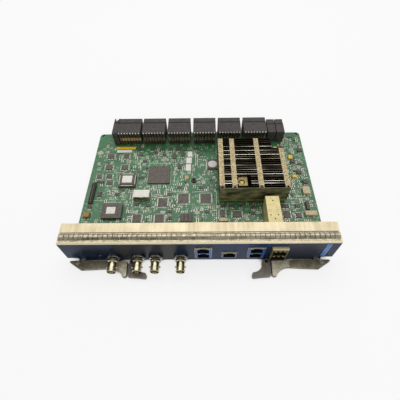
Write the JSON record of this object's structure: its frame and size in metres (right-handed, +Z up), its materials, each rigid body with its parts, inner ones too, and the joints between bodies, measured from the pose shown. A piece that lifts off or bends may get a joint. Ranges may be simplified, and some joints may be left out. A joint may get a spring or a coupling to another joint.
{
  "type": "router interface module",
  "caption": "Plug-in router card: folded steel front panel with coaxial, network and transceiver ports, ejector levers, circuit board with heatsink and rear backplane connectors.",
  "frame": {"origin": "centre of the footprint, on the surface that the module lies on", "axes": "+X across the module from the left end of the front panel to its right end, +Y from the front panel to the rear connectors, +Z up from the component side of the board"},
  "size_m": [0.276, 0.2156, 0.0406],
  "materials": {
    "panel_steel": "plated sheet steel, glossy dark blue face",
    "spring_alloy": "tin-plated spring alloy",
    "board_laminate": "green solder resist on glass laminate",
    "lever_alloy": "satin cast alloy",
    "plated_steel": "nickel-plated steel",
    "latch_plastic": "moulded dark nylon",
    "black_steel": "blackened steel",
    "nickel_brass": "nickel-plated brass",
    "white_polymer": "white fluoropolymer",
    "gilt_brass": "gilt brass",
    "tinned_steel": "tin-plated sheet steel",
    "black_polymer": "moulded black polyester",
    "chip_epoxy": "moulded epoxy",
    "soft_pad": "filled silicone pad",
    "sink_base_metal": "machined plate",
    "fin_metal": "thin rolled sheet",
    "connector_polymer": "moulded dark grey liquid-crystal polymer",
    "socket_polymer": "moulded brown-grey polymer",
    "can_metal": "plated drawn can",
    "yellow_epoxy": "moulded yellow epoxy",
    "beige_ceramic": "beige moulded ceramic",
    "component_black": "small moulded parts"
  },
  "bodies": {
    "root": {"board_standoff": "connector_polymer", "boot_memory": "chip_epoxy", "cage_connectors": "black_polymer", "chip_components": "component_black", "chip_socket": "socket_polymer", "circuit_board": "board_laminate", "clock_chip": "chip_epoxy", "coaxial_jack_1": "nickel_brass", "coaxial_jack_2": "nickel_brass", "coaxial_jack_3": "nickel_brass", "coaxial_jack_4": "nickel_brass", "connector_housing_1": "connector_polymer", "connector_housing_2": "connector_polymer", "connector_housing_3": "connector_polymer", "connector_housing_4": "connector_polymer", "connector_housing_5": "connector_polymer", "connector_housing_6": "connector_polymer", "connector_wafers": "connector_polymer", "crystal": "beige_ceramic", "ejector_brackets": "plated_steel", "ejector_pins": "plated_steel", "front_panel": "panel_steel", "gasket_strip": "spring_alloy", "guide_block": "connector_polymer", "heatsink_base": "sink_base_metal", "heatsink_fins": "fin_metal", "jack_contacts": "gilt_brass", "jack_insulators": "white_polymer", "jack_nuts": "nickel_brass", "latch_brackets": "black_steel", "latch_pins": "black_steel", "latch_springs": "black_steel", "line_fuse": "beige_ceramic", "line_transformer": "chip_epoxy", "logic_chips": "chip_epoxy", "management_body": "black_polymer", "management_shield": "tinned_steel", "memory_chips": "chip_epoxy", "network_body_1": "black_polymer", "network_body_2": "black_polymer", "network_shield_1": "tinned_steel", "network_shield_2": "tinned_steel", "oscillator_can": "can_metal", "pin_header": "connector_polymer", "power_diode": "component_black", "power_inductor": "beige_ceramic", "power_module_1": "connector_polymer", "power_module_2": "connector_polymer", "processor": "chip_epoxy", "socket_chip": "chip_epoxy", "spring_screws": "plated_steel", "switch_chip": "chip_epoxy", "tab_screws": "plated_steel", "tantalum_capacitors": "yellow_epoxy", "thermal_pad": "soft_pad", "transceiver_cage": "tinned_steel"},
    "left_ejector": {"left_ejector": "lever_alloy"},
    "right_ejector": {"right_ejector": "lever_alloy"},
    "left_latch": {"left_latch": "latch_plastic"},
    "right_latch": {"right_latch": "latch_plastic"}
  },
  "joints": [
    {"name": "left_ejector_hinge", "type": "hinge", "parent": "root", "child": "left_ejector", "pos_m": [-0.126, -0.0912, 0.0026], "axis": [0, 0, -1], "range_deg": [0, 45]},
    {"name": "right_ejector_hinge", "type": "hinge", "parent": "root", "child": "right_ejector", "pos_m": [0.126, -0.0912, 0.0026], "axis": [0, 0, 1], "range_deg": [0, 45]},
    {"name": "left_latch_hinge", "type": "hinge", "parent": "root", "child": "left_latch", "pos_m": [-0.0695, -0.0904, 0.0026], "axis": [0, 0, -1], "range_deg": [0, 7], "stiffness_Nm_per_rad": 0.02},
    {"name": "right_latch_hinge", "type": "hinge", "parent": "root", "child": "right_latch", "pos_m": [0.0695, -0.0904, 0.0026], "axis": [0, 0, 1], "range_deg": [0, 7], "stiffness_Nm_per_rad": 0.02}
  ]
}
